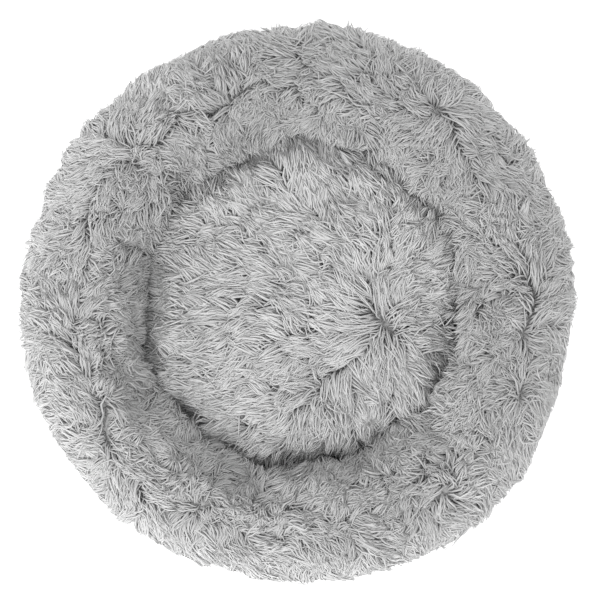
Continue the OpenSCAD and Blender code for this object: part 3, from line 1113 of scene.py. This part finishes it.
def plush_pile():
    """Brushed polyester: pale soft tips, and roots darkened by painted shade. Its map gives each
    lock's tone across, on the ring partly painted shade and painted light, and the way from root
    to tip upwards."""
    material, tree, shader = graph(
        "brushed_polyester_pile", Roughness=0.8, IOR=1.57, Sheen_Weight=0.15, Sheen_Roughness=0.5
    )
    uv = add(tree, "ShaderNodeUVMap", {"uv_map": "OFBake"})
    parts = add(tree, "ShaderNodeSeparateXYZ", Vector=uv.outputs["UV"])
    ramp = colour_by(tree, shader, parts.outputs["Y"],
                     (0.05, PAINTED_SHADE_ROOT_GREY), (0.5, MIDDLE_GREY), (0.95, TIP_GREY))
    # On the ring the tone also holds painted shade on the worn crest and painted light on the outer
    # rim.
    tone = add(tree, "ShaderNodeMapRange", i0=parts.outputs["X"], i3=0.78, i4=1.12)
    toned = add(tree, "ShaderNodeVectorMath", {"operation": "SCALE"},
                i0=ramp.outputs["Color"], Scale=tone.outputs["Result"])
    tree.links.new(toned.outputs["Vector"], shader.inputs["Base Color"])
    return material


pile_material = plush_pile()
for piece in ring_pile + cushion_pile:
    piece.data.materials.append(pile_material)
print(pile_material.name, "on", len(ring_pile + cushion_pile), "pieces")


# %% [markdown]
# ## Cloths
# Knitted, woven, bonded and carded cloths differ in their small relief. Threads laid by a
# pattern of waves give the woven ones, and cells give loops, pressed points and tangles. Real
# thread geometry would be far too much for cloth that is mostly hidden.

# %% Knitted and woven cloth
# Warp-knitted backing: columns of loops 1.2 mm apart, dull between the pile's roots.
finish(one_pattern(
    "warp_knit_backing", "ShaderNodeTexVoronoi", "Distance", {"Scale": 1 / (1.2 * MM)},
    [(0.1, "#a4a4a4"), (0.7, "#8c8c8c")], depth=-0.2 * MM, Roughness=0.9, IOR=1.57
), "ring_fur_", "cushion_fur_")


def oxford_cloth():
    """Coated Oxford base cloth: a plain weave of thick threads, a small even grid to the eye.
    The real threads are 0.4 mm apart; they are drawn at 1.2 mm."""
    material, tree, shader = graph("coated_oxford_weave", Roughness=0.75, IOR=1.57)
    place = add(tree, "ShaderNodeTexCoord")
    warp = add(tree, "ShaderNodeTexWave", {"bands_direction": "X"},
               Vector=place.outputs["Object"], Scale=bands(1.2 * MM))
    weft = add(tree, "ShaderNodeTexWave", {"bands_direction": "Y"},
               Vector=place.outputs["Object"], Scale=bands(1.2 * MM))
    weave = add(tree, "ShaderNodeMath", {"operation": "MAXIMUM"},
                i0=warp.outputs["Fac"], i1=weft.outputs["Fac"])
    slub = add(tree, "ShaderNodeTexNoise", Vector=place.outputs["Object"], Scale=1 / (14 * MM))
    shade = add(tree, "ShaderNodeMath", {"operation": "MULTIPLY"},
                i0=weave.outputs["Value"], i1=slub.outputs["Fac"])
    colour_by(tree, shader, shade.outputs["Value"], (0.1, "#6c6c6c"), (0.7, "#969696"))
    relief(tree, shader, weave.outputs["Value"], 0.15 * MM)
    return material


finish(oxford_cloth(), "base_panel_", "nest_floor_", "cushion_base_cloth_")


# %% Liner and fibre
# Thin spunbonded liner: a white web pressed with small oval points 2 mm apart.
finish(one_pattern(
    "spunbonded_liner", "ShaderNodeTexVoronoi", "Distance", {"Scale": 1 / (2 * MM)},
    [(0.1, "#cfcfca"), (0.6, "#e8e8e4")], depth=0.1 * MM, settings={"feature": "SMOOTH_F1"},
    Roughness=0.85, IOR=1.5
), "ring_liner_")

# Loose carded polyester fibre: white, cloudy, with fine tangled strands.
finish(one_pattern(
    "carded_polyester_fibre", "ShaderNodeTexNoise", "Fac",
    {"Scale": 1 / (6 * MM), "Detail": 6.0, "Distortion": 2.0},
    [(0.3, "#d9d9d5"), (0.7, "#f4f4f0")], depth=1.0 * MM, Roughness=0.9, IOR=1.57
), "ring_filling_", "cushion_filling_", "base_wadding_")


# %% Tape and label
def herringbone_tape():
    """Woven zip tape: slanting ribs 1 mm apart in mirrored columns."""
    material, tree, shader = graph("herringbone_zip_tape", Roughness=0.7, IOR=1.57)
    place = add(tree, "ShaderNodeTexCoord")
    axes = add(tree, "ShaderNodeSeparateXYZ", Vector=place.outputs["Object"])
    column = add(tree, "ShaderNodeMath", {"operation": "PINGPONG"}, i0=axes.outputs["Y"], i1=2 * MM)
    slant = add(tree, "ShaderNodeMath", {"operation": "ADD"},
                i0=axes.outputs["X"], i1=column.outputs["Value"])
    along_rib = add(tree, "ShaderNodeCombineXYZ", X=slant.outputs["Value"])
    ribs = add(tree, "ShaderNodeTexWave", {"bands_direction": "X"},
               Vector=along_rib.outputs["Vector"], Scale=bands(1.0 * MM))
    colour_by(tree, shader, ribs.outputs["Fac"], (0.2, "#707070"), (0.8, "#949494"))
    relief(tree, shader, ribs.outputs["Fac"], 0.1 * MM)
    return material


finish(herringbone_tape(), "zip_tape_")

# Woven satin label, blank: white, with a faint shine in rows 0.6 mm apart.
finish(one_pattern(
    "woven_satin_ribbon", "ShaderNodeTexWave", "Fac", {"Scale": bands(0.6 * MM)},
    [(0.2, "#e4e4e0"), (0.8, "#f4f4f0")], settings={"bands_direction": "Y"},
    Roughness=0.35, IOR=1.57
), "care_label_")


# %% [markdown]
# ## Thread, plastic and metal
# These are the small parts of the zip and the seams. Each is smooth, so its finish is mostly its
# roughness, with a faint pattern at its own scale: the twist of thread, dust on the dots, haze
# on the tumbled metal.

# %% Thread and plastic
# Spun polyester thread: its twist shows as slanting light and dark, here every 0.8 mm.
finish(one_pattern(
    "spun_polyester_thread", "ShaderNodeTexWave", "Fac", {"Scale": bands(0.8 * MM)},
    [(0.2, "#848484"), (0.8, "#aeaeae")], settings={"bands_direction": "DIAGONAL"},
    Roughness=0.6, IOR=1.57
), "base_seam_", "zip_stitching_", "cushion_seam_")

# Soft PVC dropped on through a screen: near black, with a mottle of dust 3 mm wide.
finish(one_pattern(
    "screened_soft_pvc", "ShaderNodeTexNoise", "Fac", {"Scale": 1 / (3 * MM)},
    [(0.35, "#262626"), (0.7, "#3a3a3a")], Roughness=0.5, IOR=1.53
), "grip_dots_")

# The zip's coil, drawn polyester wire: smooth and slightly cloudy, with a soft shine.
finish(one_pattern(
    "drawn_polyester_wire", "ShaderNodeTexNoise", "Fac", {"Scale": 1 / (5 * MM)},
    [(0.3, "#8a8a8a"), (0.7, "#a6a6a6")], Roughness=0.3, IOR=1.57
), "zip_coil_")

# %% Metal
# Nickel on cast zinc, tumbled smooth: pale metal with a fine uneven haze.
finish(one_pattern(
    "nickelled_zinc_casting", "ShaderNodeTexNoise", "Fac", {"Scale": 1 / (1.5 * MM)},
    [(0.3, "#b4b2ae"), (0.7, "#c6c4c0")], depth=0.03 * MM, Metallic=1.0, Roughness=0.28
), "zip_slider_", "zip_pull_", "zip_top_", "zip_bottom_")


# %% [markdown]
# ## Studio
# The bed is shown on a white acrylic sheet that is lit from below, under a bright tent, with one
# large soft lamp from the lower left. The tent fills every shadow, and the lamp gives the locks
# their light and dark sides. The sheet is a mesh, not a plain world, so that the bed has contact.

# %% Floor
FLOOR = 6.0  # half the side of the sheet, far beyond what is seen
floor_points = [(-FLOOR, -FLOOR, 0), (FLOOR, -FLOOR, 0), (FLOOR, FLOOR, 0), (-FLOOR, FLOOR, 0)]
floor = mesh_piece("studio_floor", floor_points, [(0, 1, 2, 3)])
floor.location.z = -0.5 * MM
floor_graph = graph(
    "lit_white_acrylic", Base_Color=linear("#fafafa"), Roughness=0.9,
    Emission_Color=linear("#ffffff"), Emission_Strength=0.5
)
finish(floor_graph[0], "studio_floor")

# %% Light
TENT_STRENGTH = 1.22
LAMP_SIZE = 1.6
LAMP_POWER = 48
LAMP_PLACE = Vector((-1.3, -1.5, 1.7))
LAMP_AIM = Vector((0, 0, 0.08))

world = bpy.data.worlds.new("studio")
world.use_nodes = True
sky = world.node_tree.nodes["Background"]
sky.inputs["Color"].default_value = linear("#ffffff")
sky.inputs["Strength"].default_value = TENT_STRENGTH
bpy.context.scene.world = world

lamp_data = bpy.data.lights.new("key", "AREA")
lamp_data.shape = "DISK"
lamp_data.size = LAMP_SIZE
lamp_data.energy = LAMP_POWER
lamp = placed("key", lamp_data)
lamp.location = LAMP_PLACE
lamp.rotation_euler = (LAMP_AIM - LAMP_PLACE).to_track_quat("-Z", "Y").to_euler()
print("lamp", LAMP_POWER, "W")

# %% [markdown]
# ## Camera
# The camera looks straight down from 2 m above the ring's middle height, so the far and near
# sides of the bed are seen alike. Its focal length is the one that takes in the wanted width.

# %% Camera
FILM = 36.0  # mm
DISTANCE = 2.0
VIEW_WIDTH = 647 * MM  # at the ring's middle height
camera_data = bpy.data.cameras.new("camera")
camera_data.sensor_width = FILM
camera_data.sensor_fit = "HORIZONTAL"
camera_data.lens = FILM * DISTANCE / VIEW_WIDTH
camera = placed("camera", camera_data)
camera.location = (1 * MM, 5.5 * MM, DISTANCE + RING_TOP / 2)
bpy.context.scene.camera = camera
bpy.context.scene.view_settings.view_transform = "Standard"
print("focal length", round(camera_data.lens, 1), "mm")
